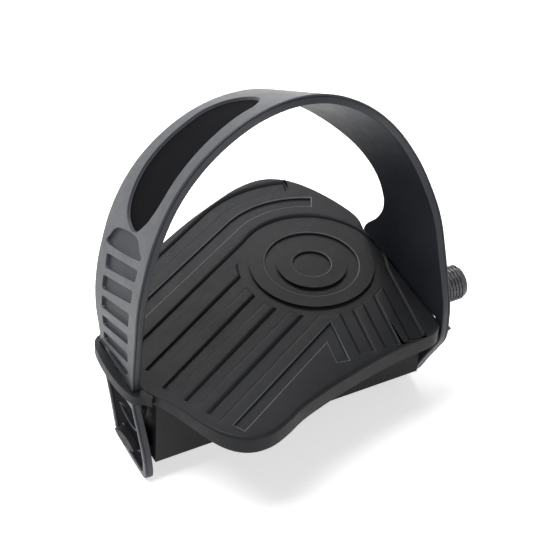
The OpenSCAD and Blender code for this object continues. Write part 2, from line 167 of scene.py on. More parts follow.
def moulded(name, dark, light, roughness, grain_mm, grain_depth_mm, specular=0.5, marked=None):
    finish, tree, shader = new_finish(name, dark, roughness[0], specular=specular)
    grain = add_noise(tree, 1 / (grain_mm * MM), 2.0)
    cloud = add_noise(tree, 1 / (22 * MM), 3.0)
    wear = add_noise(tree, 1 / (3.2 * MM), 4.0, 0.65)
    tone = tint(tree, shader, add_ramp(tree, cloud.outputs["Fac"], 0.3, 0.7, 0, 1), dark, light)
    both = tree.nodes.new("ShaderNodeMath")
    both.operation = "ADD"
    tree.links.new(add_ramp(tree, cloud.outputs["Fac"], 0.3, 0.7, 0, 0.5), both.inputs[0])
    tree.links.new(add_ramp(tree, wear.outputs["Fac"], 0.35, 0.65, 0, 0.5), both.inputs[1])
    haze = add_ramp(tree, both.outputs[0], 0, 1, *roughness)
    tree.links.new(haze, shader.inputs["Roughness"])
    if marked:
        mark_faces(tree, shader, tone, haze, *marked)
    add_bump(tree, shader, grain.outputs["Fac"], 1.0, grain_depth_mm * MM)
    return finish


# Faces marked "edge" are coloured lighter than the plastic: a painted highlight on groove edges
# that are also glossier.
tread_plastic = moulded("grained_black_plastic",
                        (0.0062, 0.0065, 0.0076), (0.0098, 0.0102, 0.0116),
                        (0.42, 0.56), 0.42, 0.05, specular=0.14,
                        marked=("edge", (0.055, 0.057, 0.062), 0.34, 0.3))
# Faces marked "recess" are coloured near black with almost no reflection: painted shade on the
# recess floors.
strap_plastic = moulded("smooth_blue_black_plastic",
                        (0.014, 0.0155, 0.021), (0.019, 0.021, 0.028),
                        (0.36, 0.48), 0.9, 0.012, specular=0.34,
                        marked=("recess", (0.004, 0.004, 0.005), 0.85, 0.02))
cap_plastic = moulded("cap_black_plastic", (0.010, 0.010, 0.011), (0.014, 0.014, 0.016),
                      (0.36, 0.5), 0.5, 0.02, specular=0.25)
seal_rubber = moulded("seal_rubber", (0.010, 0.010, 0.011), (0.016, 0.016, 0.016),
                      (0.62, 0.75), 0.3, 0.02, specular=0.3)
print("plastics:", tread_plastic.name, strap_plastic.name, cap_plastic.name, seal_rubber.name)


# %% [markdown]
# Turned steel shows rings left by the tool, so its bump is a wave that runs along the spindle
# axis. The balls are lapped and only get a faint haze.


# %% Steel
def steel(name, colour, roughness, ring_mm=None, ring_depth_mm=0.004):
    finish, tree, shader = new_finish(name, colour, roughness[0], metallic=1.0)
    haze = add_noise(tree, 1 / (1.6 * MM), 4.0, 0.6)
    tree.links.new(add_ramp(tree, haze.outputs["Fac"], 0.3, 0.7, *roughness),
                   shader.inputs["Roughness"])
    if ring_mm:
        place = tree.nodes.new("ShaderNodeTexCoord")
        rings = tree.nodes.new("ShaderNodeTexWave")
        rings.bands_direction = "X"
        rings.inputs["Scale"].default_value = 1 / (ring_mm * MM)
        rings.inputs["Distortion"].default_value = 0.4
        tree.links.new(place.outputs["Object"], rings.inputs["Vector"])
        add_bump(tree, shader, rings.outputs["Fac"], 0.5, ring_depth_mm * MM)
    else:
        add_bump(tree, shader, haze.outputs["Fac"], 0.3, 0.002 * MM)
    return finish


shaft_steel = steel("blackened_steel", (0.080, 0.080, 0.083), (0.22, 0.36), ring_mm=0.5)
race_steel = steel("ground_race_steel", (0.52, 0.52, 0.53), (0.2, 0.32), ring_mm=0.35)
ball_steel = steel("lapped_ball_steel", (0.6, 0.6, 0.61), (0.06, 0.12))
zinc_steel = steel("zinc_plated_steel", (0.5, 0.51, 0.52), (0.28, 0.42), ring_mm=0.6)
print("steels:", shaft_steel.name, race_steel.name, ball_steel.name, zinc_steel.name)

# %% [markdown]
# The frame's own pieces that already have the right shape keep their mesh and only trade their
# material.


# %% Dress the pieces of the frame
def dress(node, finish):
    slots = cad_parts[node].material_slots
    if not slots:
        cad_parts[node].data.materials.append(finish)
    for entry in slots:
        entry.material = finish


FINISH_OF = {"inner_cup": race_steel, "outer_cup": race_steel, "outer_cone": race_steel,
             "key_washer": zinc_steel, "lock_nut": zinc_steel, "dust_cap": cap_plastic,
             "inner_seal": seal_rubber, "spindle": shaft_steel, "pedal_body": tread_plastic,
             "foot_strap": strap_plastic}
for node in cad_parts:
    dress(node, FINISH_OF.get(node, ball_steel))
print("dressed:", len(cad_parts))


# %% [markdown]
# ## Helpers for mesh pieces
# A piece that stands for a solid of the frame starts from a merged copy of it, because a frame
# mesh is loose triangles. Every piece is shaded smoothly with weighted normals: wide faces look
# flat and only the rounded edges turn. Edges that are meant to be crisp are marked sharp.


# %% Copy a solid and give a piece its home
MERGE = 0.002 * MM
SHARP = math.radians(35)


def merged_bmesh(node):
    bm = bmesh.new()
    bm.from_mesh(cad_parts[node].data)
    bmesh.ops.remove_doubles(bm, verts=bm.verts, dist=MERGE)
    return bm


def mark_sharp(bm):
    for e in bm.edges:
        e.smooth = e.calc_face_angle(0) < SHARP


def add_piece(name, bm, finish):
    mesh = bpy.data.meshes.new(name)
    bm.to_mesh(mesh)
    bm.free()
    mesh.materials.append(finish)
    piece = bpy.data.objects.new(name, mesh)
    scene.collection.objects.link(piece)
    return piece


def smooth_all(piece):
    for polygon in piece.data.polygons:
        polygon.use_smooth = True
    weighted = piece.modifiers.new("weighted", "WEIGHTED_NORMAL")
    weighted.keep_sharp = True
    weighted.weight = 100


def settle(piece, body, slot, *nodes):
    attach(piece, body)
    if nodes:
        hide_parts(*nodes)
    print(piece.name, "faces:", len(piece.data.polygons))


# %% [markdown]
# ## The platform
# A moulding has no knife edges: the rim of the tread is rounded by more than a millimetre, and
# each groove has a small radius that draws a light line beside a dark one, helped by a painted
# highlight: the rounded faces of the grooves are coloured lighter. The solid of the frame has the
# right shape with sharp edges. A bevel modifier would round all of them alike, so the flat top is
# taken off a copy, its outlines are found, and each gets its own rounded border.


# %% Taper the skirt towards the outer end and cut the lug
TREAD_Z = body_high[2]
LEVEL = 0.02
SKIRT_LOW, SKIRT_HIGH = TREAD_Z - 7, TREAD_Z - 4.7
TAPER_FROM, TAPER_LEN, TAPER_H = -98, 17, 2.6
LUG_PAST, LUG_END_X, LUG_END_Y, LUG_SLOPE = -121.5, -120.1, -12.7, 0.12


def taper_skirt(bm):
    """The skirt grows shallower where the platform ends in the loop, as one sloping edge."""
    moved = 0
    for v in bm.verts:
        x, z = v.co.x / MM, v.co.z / MM
        if x < TAPER_FROM and min(abs(z - SKIRT_LOW), abs(z - SKIRT_HIGH)) < LEVEL:
            part = min(max((TAPER_FROM - x) / TAPER_LEN, 0), 1)
            v.co.z = (SKIRT_LOW + TAPER_H * part * part * (3 - 2 * part)) * MM
            moved += 1
    bmesh.ops.remove_doubles(bm, verts=bm.verts, dist=MERGE)
    print("skirt points moved:", moved)


def trim_lug(bm):
    """The lug stands 1.3 to 3 mm proud of the strap's tail, more at its far end."""
    for v in bm.verts:
        x, y, z = v.co / MM
        if x < LUG_PAST and z < 0:
            v.co.x = (LUG_END_X - LUG_SLOPE * (y - LUG_END_Y)) * MM


# %% [markdown]
# The outlines are found by walking along the edges that have the flat top on one side only. The
# one that encloses the most is the rim, and each of the others is the border of a groove or of
# an island between grooves.


# %% Find the outlines of the tread
def tread_loops(bm):
    """Take the flat top off and return its outlines, each a closed list of points.

    Two outlines touch in one point. The walk starts anywhere in a set, so from run to run it may
    join them or keep them apart. Edges sorted by their place would settle that.
    """
    top = [f for f in bm.faces if f.normal.z > 0.99
           and all(abs(v.co.z / MM - TREAD_Z) < LEVEL for v in f.verts)]
    inside = set(top)
    border = [e for e in bm.edges if sum(f in inside for f in e.link_faces) == 1]
    ways = {}
    for e in border:
        for v in e.verts:
            ways.setdefault(v, []).append(e)
    bmesh.ops.delete(bm, geom=top, context="FACES_ONLY")
    loops, left = [], set(border)
    while left:
        edge = left.pop()
        first, here = edge.verts
        loop = [first]
        while here is not first:
            loop.append(here)
            edge = next(e for e in ways[here] if e in left)
            left.discard(edge)
            here = edge.other_vert(here)
        loops.append(loop)
    return loops


def signed_area(points):
    return sum(p.x * points[i - 1].y - p.y * points[i - 1].x for i, p in enumerate(points)) / -2


# %% [markdown]
# A rounded border is a quarter circle in a few steps. Each step is the outline moved inwards and
# up, and the last one is where the new flat top begins.


# %% Give an outline its rounded border
def moved_left(points, distances):
    """Each point of a closed curve moved to the left of its way by its own distance."""
    out = []
    for i, p in enumerate(points):
        a, b = (p - points[i - 1]).normalized(), (points[(i + 1) % len(points)] - p).normalized()
        side = Vector((-a.y - b.y, a.x + b.x))
        if side.length < 1e-6:
            side = Vector((-a.y, a.x))
        side.normalize()
        out.append(p + side * distances[i] / max(side.dot(Vector((-a.y, a.x))), 0.5))
    return out


def round_border(bm, loop, radius_at, steps, mark):
    flat = [v.co.xy / MM for v in loop]
    radii = [radius_at(p) for p in flat]
    below = loop
    for k in range(1, steps + 1):
        turn = math.pi / 2 * k / steps
        at = moved_left(flat, [r * (1 - math.cos(turn)) for r in radii])
        above = [bm.verts.new(Vector((*p, TREAD_Z - r * (1 - math.sin(turn)))) * MM)
                 for p, r in zip(at, radii)]
        for i in range(len(loop)):
            bm.faces.new((below[i - 1], below[i], above[i], above[i - 1]))[polish_and_painted_highlight] = mark
        below = above
    for v, r in zip(loop, radii):
        v.co.z -= r * MM
    return [bm.edges.get((below[i - 1], below[i])) for i in range(len(below))]


# %% Round the tread
RIM_R, GROOVE_R = 1.3, 0.4
RIM_END_R, THIN_FROM, THIN_LEN = 0.2, -102, 10
RIM_STEPS, GROOVE_STEPS = 5, 4


def rim_radius(p):
    """The full radius, down to a small one where the loop's bar starts."""
    return RIM_R - (RIM_R - RIM_END_R) * min(max((THIN_FROM - p.x) / THIN_LEN, 0), 1)


bm = merged_bmesh("pedal_body")
taper_skirt(bm)
trim_lug(bm)
# Face layer for the painted highlight: 1 on the rounded groove edges, which the finish colours
# lighter and makes glossier.
polish_and_painted_highlight = bm.faces.layers.float.new("edge")
loops = tread_loops(bm)
areas = [signed_area([v.co.xy / MM for v in loop]) for loop in loops]
rim = max(range(len(loops)), key=lambda i: abs(areas[i]))
edges = []
for i, loop in enumerate(loops):
    if (areas[i] > 0) != (i == rim):
        loop.reverse()
    if i == rim:
        edges += round_border(bm, loop, rim_radius, RIM_STEPS, 0.0)
    else:
        edges += round_border(bm, loop, lambda p: GROOVE_R, GROOVE_STEPS, 1.0)
bmesh.ops.triangle_fill(bm, use_beauty=True, edges=edges)
bmesh.ops.recalc_face_normals(bm, faces=bm.faces)
mark_sharp(bm)
print("outlines of the tread:", len(loops), "edges that stayed open:",
      sum(e.is_boundary for e in bm.edges))
platform = add_piece("platform_moulding", bm, tread_plastic)
smooth_all(platform)
settle(platform, "pedal", "body_plastic", "pedal_body")

# %% [markdown]
# ## The foot strap
# The real strap is moulded in one piece: a long tail with a ladder of recesses, an oval panel
# over the toes, and a wide foot that hooks on the crank side. Its outer face is a bent sheet, so
# it is drawn flat, as a pattern with a distance *s* along the arch and *v* across it. The rounded
# edges are made on the flat pattern, where they are easy, and the whole is then bent. The arch is
# a crown between two flatter arcs with straight legs below, all leaning towards the toes. The tail
# leans in a little below the platform.


# %% The arch as a rule: where the flat pattern goes
LEAN = math.radians(32.2)
PIVOT_Y, PIVOT_Z = 0.0, 31.8
ARCH_H, TOP_R = 62.8, 43.0
STRAP_T = 3.0
TAIL_LEAN, LEAN_FROM, TAIL_Z = 3.4, 5.5, -28.4
top_c = ARCH_H - TOP_R
side_r = (strap_hw ** 2 + top_c ** 2 - TOP_R ** 2) / (2 * (strap_hw - TOP_R))
joint_angle = math.atan2(top_c, side_r - strap_hw)
top_len = TOP_R * (math.pi / 2 - joint_angle)
side_len = side_r * joint_angle
print(f"half of the arch: {top_len:.1f} mm over the top, {side_len:.1f} mm down the side")


def arch_height(y, z):
    return (y - PIVOT_Y) * math.sin(LEAN) + (z - PIVOT_Z) * math.cos(LEAN)


def across(y, z):
    return (y - PIVOT_Y) * math.cos(LEAN) - (z - PIVOT_Z) * math.sin(LEAN)


def along_of_height(h):
    """Distance from the top of the arch down to a height, along the outer face."""
    if h > side_r * math.sin(joint_angle):
        return TOP_R * math.acos(min((h - top_c) / TOP_R, 1))
    if h > 0:
        return top_len + side_r * (joint_angle - math.asin(h / side_r))
    return top_len + side_len - h


def flat_point(side, y, z):
    return Vector((side * along_of_height(arch_height(y, z)), across(y, z)))


def height_of_along(t):
    t = abs(t)
    if t <= top_len:
        return top_c + TOP_R * math.cos(t / TOP_R)
    if t <= top_len + side_len:
        return side_r * math.sin(joint_angle - (t - top_len) / side_r)
    return top_len + side_len - t


def bend(s, v, depth):
    """Point of the strap, in millimetres, from its place in the flat pattern."""
    t, side = abs(s), (1 if s > 0 else -1)
    if t <= top_len:
        angle = math.pi / 2 - t / TOP_R
        x, h = (TOP_R - depth) * math.cos(angle), top_c + (TOP_R - depth) * math.sin(angle)
    elif t <= top_len + side_len:
        angle = joint_angle - (t - top_len) / side_r
        x = strap_hw - side_r + (side_r - depth) * math.cos(angle)
        h = (side_r - depth) * math.sin(angle)
    else:
        x, h = strap_hw - depth, top_len + side_len - t
    y = PIVOT_Y + v * math.cos(LEAN) + h * math.sin(LEAN)
    z = PIVOT_Z - v * math.sin(LEAN) + h * math.cos(LEAN)
    x = mid_x + side * x
    if side < 0 and z < LEAN_FROM:
        x += TAIL_LEAN * (LEAN_FROM - z) / (LEAN_FROM - TAIL_Z)
    return Vector((x, y, z)) * MM


# %% [markdown]
# The edges of the strap are curves through a few points that were measured on the side view. A
# Catmull-Rom curve passes through each point, so the numbers below are real places on the strap.


# %% Curves through points
def catmull(a, b, c, d, t):
    return 0.5 * (2 * b + (c - a) * t + (2 * a - 5 * b + 4 * c - d) * t * t
                  + (3 * b - a - 3 * c + d) * t ** 3)


def open_curve(points, steps):
    p = [Vector(q) for q in points]
    p = [2 * p[0] - p[1]] + p + [2 * p[-1] - p[-2]]
    curve = [catmull(*p[i - 1:i + 3], k / steps) for i in range(1, len(p) - 2)
             for k in range(steps)]
    return curve + [p[-2]]


def closed_curve(points, steps):
    p = [Vector(q) for q in points]
    n = len(p)
    return [catmull(p[i - 1], p[i], p[(i + 1) % n], p[(i + 2) % n], k / steps)
            for i in range(n) for k in range(steps)]


def rounded(corners, radii, steps=5):
    """Closed polygon with an arc at each corner."""
    n, out = len(corners), []
    for i, corner in enumerate(corners):
        c = Vector(corner)
        a = (Vector(corners[i - 1]) - c).normalized()
        b = (Vector(corners[(i + 1) % n]) - c).normalized()
        half = a.angle(b) / 2
        reach = radii[i] / math.tan(half)
        centre = c + (a + b).normalized() * radii[i] / math.sin(half)
        start, end = c + a * reach - centre, c + b * reach - centre
        turn = math.atan2(start.x * end.y - start.y * end.x, start.dot(end))
        for k in range(steps + 1):
            angle = turn * k / steps
            out.append(centre + Matrix.Rotation(angle, 2) @ start)
    return out


# %% Outline of the strap, flat
LEG_NEAR, LEG_FAR, LEG_Z = -12.5, 13.0, 8.8
near_tail = [(LEG_NEAR, LEG_Z), (-12.9, 20), (-13.9, 31), (-14.8, 41.5), (-15, 52), (-14.4, 62.9),
             (-12, 74.9), (-8.8, 87), (-7, 96), (-6.1, 103), (-5.9, 109.7), (-5.9, 120)]
far_tail = [(33, 110), (33, 96), (33.1, 88), (34.2, 82.8), (34.6, 79), (34, 73), (32.4, 67),
            (30, 61), (27, 54.6), (23.8, 48), (21.2, 40), (18.9, 32.5), (16, 24), (13.6, 17.5),
            (LEG_FAR, 12), (LEG_FAR, LEG_Z)]
near_foot = [(-5, -28.6), (-10.5, -26), (-14.5, -21.5), (-19.5, -11), (-24, -2), (-27, 5),
             (-27, 13), (-26, 20), (-23.4, 27.5), (-19.8, 36), (-14.2, 49.6), (-9.6, 60.1),
             (-6.8, 69.7), (-5.2, 78), (-4.6, 89), (-5.1, 99.7), (-5.9, 109.7), (-5.9, 120)]
far_foot = [(33, 110), (33, 96), (33.1, 88), (33.8, 81), (33.6, 74), (32, 68.6), (29.6, 64.8),
            (26.4, 61), (23.2, 57), (20.2, 51.8), (17.8, 46.3), (16.3, 40), (15.8, 35.4),
            (16.4, 31), (18, 27), (20.6, 22.6), (24, 18.4), (26.6, 14.4), (27.3, 10), (27, 5),
            (24, -2), (19.5, -11), (14.5, -21.5), (10.5, -26), (5, -28.6)]
TOP_ZONE, STEP = 51.0, 2.5


def flat_edge(points, side):
    """One edge of the strap in the flat pattern, from its lower end to the top of the arch."""
    curve = open_curve(points, 4)
    if arch_height(*curve[0]) > arch_height(*curve[-1]):
        curve.reverse()
    low = [p for p in curve if arch_height(*p) < TOP_ZONE]
    heights = [arch_height(*p) for p in curve]
    widths = [across(*p) for p in curve]
    edge = [flat_point(side, *p) for p in low]
    first = along_of_height(TOP_ZONE) - 1
    top = slice(len(low) - 2, None)
    for t in np.linspace(first, 0, int(first / STEP)):
        v = np.interp(height_of_along(t), heights[top], widths[top])
        edge.append(Vector((side * t, float(v))))
    return edge


def stretched(points, gap=2.0):
    """The same open line with points along its straight stretches."""
    out = []
    for p, q in zip(points, points[1:]):
        n = max(int((q - p).length / gap), 1)
        out += [p.lerp(q, k / n) for k in range(n)]
    return out + [points[-1]]


def straight(points, gap=2.0):
    """The same closed polygon with points along its straight sides."""
    return stretched(points + points[:1], gap)[:-1]


TAIL_EDGE = [(LEG_NEAR, LEG_Z), (-13.6, 3), (-15.3, -4), (-16.8, -11.5), (-17.5, -18.5), (-17, -25),
             (-15.4, -27.7), (-11.5, -28.4), (-4, -28.4), (4, -28.2), (7.4, -26.6), (8.3, -22),
             (8.9, -14), (9.8, -5), (11.5, 3), (LEG_FAR, LEG_Z)]
tail_end = stretched(open_curve(TAIL_EDGE, 3))
tail_end = [flat_point(-1, *p) for p in tail_end[1:-1]]
outline = (flat_edge(near_tail, -1)[:-1] + flat_edge(near_foot, 1)[::-1]
           + flat_edge(far_foot, 1) + flat_edge(far_tail, -1)[::-1][1:] + tail_end[::-1])
print(f"outline: {len(outline)} points, flat length",
      f"{max(p.x for p in outline) - min(p.x for p in outline):.0f} mm")


# %% [markdown]
# A hole or a recess is a closed curve on the same pattern. A curve moved sideways by a small
# distance, and down by a small depth, is the next ring of a rounded edge.


# %% Rings of a rounded edge
def turned_left(points):
    area = sum(p.x * points[(i + 1) % len(points)].y - p.y * points[(i + 1) % len(points)].x
               for i, p in enumerate(points))
    return points if area > 0 else points[::-1]


def grow(points, distance):
    """The counter-clockwise curve moved outwards by a distance."""
    return moved_left(points, [-distance] * len(points))


def ring(bm, points, depth):
    verts = [bm.verts.new((p.x, p.y, -depth)) for p in points]
    return verts, [bm.edges.new((v, verts[(i + 1) % len(verts)])) for i, v in enumerate(verts)]


def skin(bm, lower, upper):
    for i in range(len(lower)):
        k = (i + 1) % len(lower)
        bm.faces.new((lower[i], lower[k], upper[k], upper[i]))


def wall(bm, points, section, outward):
    """Rings down an edge. Each entry of section is a distance into the material and a depth."""
    rings = [ring(bm, grow(points, -inward if outward else inward), depth)
             for inward, depth in section]
    for (a, _), (b, _) in zip(rings, rings[1:]):
        if outward:
            skin(bm, b, a)
        else:
            skin(bm, a, b)
    return rings[0], rings[-1]


def fill(bm, edges, up):
    made = bmesh.ops.triangle_fill(bm, use_beauty=True, edges=edges)["geom"]
    faces = [f for f in made if isinstance(f, bmesh.types.BMFace)]
    for f in faces:
        f.normal_update()
        if (f.normal.z > 0) != up:
            f.normal_flip()
    return faces


# %% [markdown]
# The edge of the strap has a rounded shoulder, and just under it a fine line where the two halves
# of the mould met. Each list below is such a section, with steps of a distance into the material
# and a depth. The recesses go down one millimetre with steep walls, the panel of the tail less.

# %% Sections and places of the recesses and holes
POCKET_H, PANEL_H = 1.0, 0.6
BUTTON_Y, BUTTON_Z, BUTTON_R, FOOT_R = 21.0, 8.0, 3.8, 11.5
LUG_Z, TAIL_Y, SLOT_PITCH, SLOT_R, SLOT_OFFSET = -16.3, -6.0, 10.6, 9.7, 7.0
EDGE = [(0.55, 0), (0.25, 0.05), (0.07, 0.18), (0, 0.38), (0, 0.62), (0.3, 0.8), (0.3, 0.9),
        (0, 1.08), (0, 2.6), (0.1, 2.85), (0.3, 2.97), (0.5, STRAP_T)]
HOLE = [(0.35, 0), (0.1, 0.08), (0, 0.35), (0, 2.7), (0.1, 2.92), (0.3, STRAP_T)]
SLOT = [(0.35, PANEL_H), (0.1, 0.68), (0, 0.95), (0, 2.7), (0.1, 2.92), (0.3, STRAP_T)]
PANEL = [(0.28, 0), (0.08, 0.06), (0, 0.2), (-0.04, 0.5), (-0.14, PANEL_H)]
POCKET = [(0.28, 0), (0.08, 0.06), (0, 0.22), (-0.05, POCKET_H - 0.2), (-0.2, POCKET_H)]
LADDER = [[(14, 44.5), (-9.1, 57.5), (-9, 61.7), (16, 48.5)],
          [(13, 36.9), (-9.4, 49.3), (-9.3, 54.1), (14, 41.5)],
          [(11.6, 30.1), (-9.1, 39.3), (-9.3, 44.9), (12.4, 34.4)],
          [(10, 23.6), (-8.8, 31.2), (-8.9, 35.3), (11, 27)],
          [(9.4, 17.3), (-8.8, 23), (-8.7, 27.2), (9.8, 20.5)]]
OVAL = [(0.3, 69.4), (2.9, 66.4), (7.5, 64.6), (13.2, 64.1), (18.3, 65.7), (23.4, 70.3),
        (26.5, 76.9), (27.6, 86)]
OVAL_NEAR = [(1.5, 98.3), (-1.2, 87.6), (-2.9, 79.8), (-2, 73.6)]
OVAL_X, OVAL_Y, OVAL_R = -80, 14.5, 13
DEE = [(17.8, 50.9), (18.6, 53.6), (17.1, 56.8), (13.3, 59.9), (5, 64.5), (-1.1, 66.8),
       (-4.4, 66.1), (-7.4, 64.2)]
FOOT_DEE = [(-8.2, 19.3), (-7.8, 16.8), (-5.1, 14.6), (0.9, 13.6), (6.4, 13.6), (8.6, 14.2),
            (8.6, 15.2)]
TAIL_PANEL = [(9.8, 4.5), (8.2, -5), (7, -15), (6.2, -25.6), (-14.6, -25.6), (-15.8, -18.5),
              (-15.1, -11.5), (-13.8, -4), (-11.9, 4.5)]
TAIL_PANEL_R = [0.9, 9, 9, 1.5, 1.5, 9, 9, 9, 0.9]


# %% Curves of the recesses and holes
def flat_from_plan(x, y):
    """Place on the flat pattern of a point of the outer face, from its X and Y."""
    s = TOP_R * math.asin((x - mid_x) / TOP_R)
    h = height_of_along(s)
    return Vector((s, (y - PIVOT_Y - h * math.sin(LEAN)) / math.cos(LEAN)))


def lens(z):
    """Lens-shaped slot of the tail: two arcs that meet in points, as a flat curve."""
    reach = math.acos(SLOT_OFFSET / SLOT_R)
    return [flat_point(-1, TAIL_Y + side * SLOT_R * math.sin(a),
                       z + side * (SLOT_R * math.cos(a) - SLOT_OFFSET))
            for side in (1, -1) for a in np.linspace(-reach, reach, 14)[:-1]]


def circle_on_foot(y, z, radius, steps=48):
    return [flat_point(1, y + radius * math.cos(a), z + radius * math.sin(a))
            for a in np.linspace(0, 2 * math.pi, steps, endpoint=False)]


oval = [flat_point(-1, *p) for p in open_curve(OVAL, 4)]
oval += [flat_from_plan(OVAL_X + OVAL_R * math.cos(a), OVAL_Y + OVAL_R * math.sin(a))
         for a in np.linspace(1.1, -1.1, 15)]
oval += [flat_point(-1, *p) for p in open_curve(OVAL_NEAR, 4)]
recesses = [oval]
for points in (DEE, FOOT_DEE):
    recesses.append([flat_point(-1, *p) for p in closed_curve(points, 4)])
for corners in LADDER:
    recesses.append(straight(rounded([flat_point(-1, *p) for p in corners], [0.6] * 4, 3), 3.0))
slots = [lens(LUG_Z), lens(LUG_Z + SLOT_PITCH)]
panel = straight([flat_point(-1, *p) for p in rounded(TAIL_PANEL, TAIL_PANEL_R, 4)])
holes = [circle_on_foot(0, 0, FOOT_R)]
holes += [circle_on_foot(side * BUTTON_Y, BUTTON_Z, BUTTON_R, 24) for side in (1, -1)]
print("recesses:", len(recesses), "slots:", len(slots), "holes:", len(holes))

# %% [markdown]
# Every curve becomes a wall of rings. The flat faces between the walls are filled with triangles,
# and the sheet is cut into narrow strips before it is bent, so that the arch comes out round.

# %% Build the flat strap, cut it into narrow strips and bend it
# Amount of painted shade, a near-black colour on the recess floors: full in the oval and tail
# panels, partial in the ladder.
PANEL_PAINTED_SHADE, LADDER_PAINTED_SHADE = 1.0, 0.35
bm = bmesh.new()
painted_shade_floor = bm.faces.layers.float.new("recess")
top_loops, bottom_loops = [], []
first, last = wall(bm, turned_left(outline), EDGE, True)
top_loops += first[1]
bottom_loops += last[1]
for curve in holes:
    first, last = wall(bm, turned_left(curve), HOLE, False)
    top_loops += first[1]
    bottom_loops += last[1]
for curve in recesses:
    first, last = wall(bm, turned_left(curve), POCKET, False)
    top_loops += first[1]
    for face in fill(bm, last[1], True):
        face[painted_shade_floor] = PANEL_PAINTED_SHADE if curve is oval else LADDER_PAINTED_SHADE
first, last = wall(bm, turned_left(panel), PANEL, False)
top_loops += first[1]
panel_loops = last[1]
for curve in slots:
    first, last = wall(bm, turned_left(curve), SLOT, False)
    panel_loops += first[1]
    bottom_loops += last[1]
for face in fill(bm, panel_loops, True):
    face[painted_shade_floor] = PANEL_PAINTED_SHADE
fill(bm, top_loops, True)
fill(bm, bottom_loops, False)
half_arch = top_len + side_len
for s in np.arange(-half_arch, half_arch + STEP, STEP):
    geom = bm.verts[:] + bm.edges[:] + bm.faces[:]
    bmesh.ops.bisect_plane(bm, geom=geom, plane_co=(s, 0, 0), plane_no=(1, 0, 0), dist=1e-4)
for v in bm.verts:
    v.co = bend(v.co.x, v.co.y, -v.co.z)
strap = add_piece("strap_moulding", bm, strap_plastic)
smooth_all(strap)
settle(strap, "pedal", "strap_plastic", "foot_strap")

# %% [markdown]
# ## The crank thread
# The spindle screws into the crank. In the frame that end is a plain cylinder about as thick as
# the crests. A copy is turned down to the root, and a ridge of sixty degrees is wound round it.
# What follows a path with a fixed profile is work for Geometry Nodes: the same tree winds any
# pitch and length. One thing is wrong here: a real left pedal has a left-handed thread, so that
# riding does not undo it, and this ridge comes out right-handed. The Reverse input of the spiral
# decides that.


# %% Tree that winds a ridge round an axis
def thread_tree():
    tree = bpy.data.node_groups.new("wound_ridge", "GeometryNodeTree")
    tree.interface.new_socket("Geometry", in_out="OUTPUT", socket_type="NodeSocketGeometry")
    kinds = {"Turns": "Float", "Length": "Float", "Middle Radius": "Float",
             "Ridge Radius": "Float", "Start": "Vector", "Finish": "Material"}
    sockets = {name: tree.interface.new_socket(name, in_out="INPUT",
                                               socket_type="NodeSocket" + kind).identifier
               for name, kind in kinds.items()}
    given = tree.nodes.new("NodeGroupInput")
    spiral = tree.nodes.new("GeometryNodeCurveSpiral")
    spiral.inputs["Resolution"].default_value = 48
    spiral.inputs["Reverse"].default_value = True
    profile = tree.nodes.new("GeometryNodeCurvePrimitiveCircle")
    profile.inputs["Resolution"].default_value = 3
    upright = tree.nodes.new("GeometryNodeSetCurveNormal")
    upright.mode = "Z_UP"
    sweep = tree.nodes.new("GeometryNodeCurveToMesh")
    sweep.inputs["Fill Caps"].default_value = True
    along_x = tree.nodes.new("GeometryNodeTransform")
    along_x.inputs["Rotation"].default_value = (0, math.radians(90), 0)
    real = tree.nodes.new("GeometryNodeRealizeInstances")
    coat = tree.nodes.new("GeometryNodeSetMaterial")
    out = tree.nodes.new("NodeGroupOutput")
    link = tree.links.new
    link(given.outputs["Turns"], spiral.inputs["Rotations"])
    link(given.outputs["Length"], spiral.inputs["Height"])
    for end in ("Start Radius", "End Radius"):
        link(given.outputs["Middle Radius"], spiral.inputs[end])
    link(given.outputs["Ridge Radius"], profile.inputs["Radius"])
    link(spiral.outputs[0], upright.inputs["Curve"])
    link(upright.outputs[0], sweep.inputs["Curve"])
    link(profile.outputs[0], sweep.inputs["Profile Curve"])
    link(sweep.outputs[0], along_x.inputs["Geometry"])
    link(given.outputs["Start"], along_x.inputs["Translation"])
    link(along_x.outputs[0], real.inputs["Geometry"])
    link(real.outputs[0], coat.inputs["Geometry"])
    link(given.outputs["Finish"], coat.inputs["Material"])
    link(coat.outputs[0], out.inputs["Geometry"])
    return tree, sockets


# %% Wind the thread
CREST_R, ROOT_R, RIDGE_R, PITCH = 6.33, 5.7, 0.58, 1.27
THREAD_FROM, THREAD_LEN = 0.9, 12.0
tree, sockets = thread_tree()
thread = bpy.data.objects.new("crank_thread", bpy.data.meshes.new("crank_thread"))
scene.collection.objects.link(thread)
wind = thread.modifiers.new("wind", "NODES")
wind.node_group = tree
for name, value in {"Turns": THREAD_LEN / PITCH, "Length": THREAD_LEN * MM,
                    "Middle Radius": (CREST_R - RIDGE_R) * MM, "Ridge Radius": RIDGE_R * MM,
                    "Start": (THREAD_FROM * MM, 0.0, 0.0), "Finish": shaft_steel}.items():
    wind[sockets[name]] = value
ready = thread.evaluated_get(bpy.context.evaluated_depsgraph_get())
wound = bpy.data.meshes.new_from_object(ready)
thread.modifiers.remove(wind)
thread.data = wound
wound.name = "crank_thread_wound"
bm = bmesh.new()
bm.from_mesh(wound)
bmesh.ops.recalc_face_normals(bm, faces=bm.faces)
bm.to_mesh(wound)
reach = [math.hypot(v.co.y, v.co.z) / MM for v in bm.verts]
print(f"thread: {len(bm.verts)} points, radius {min(reach):.2f} to {max(reach):.2f} mm")
bm.free()
settle(thread, "spindle", "black_steel")

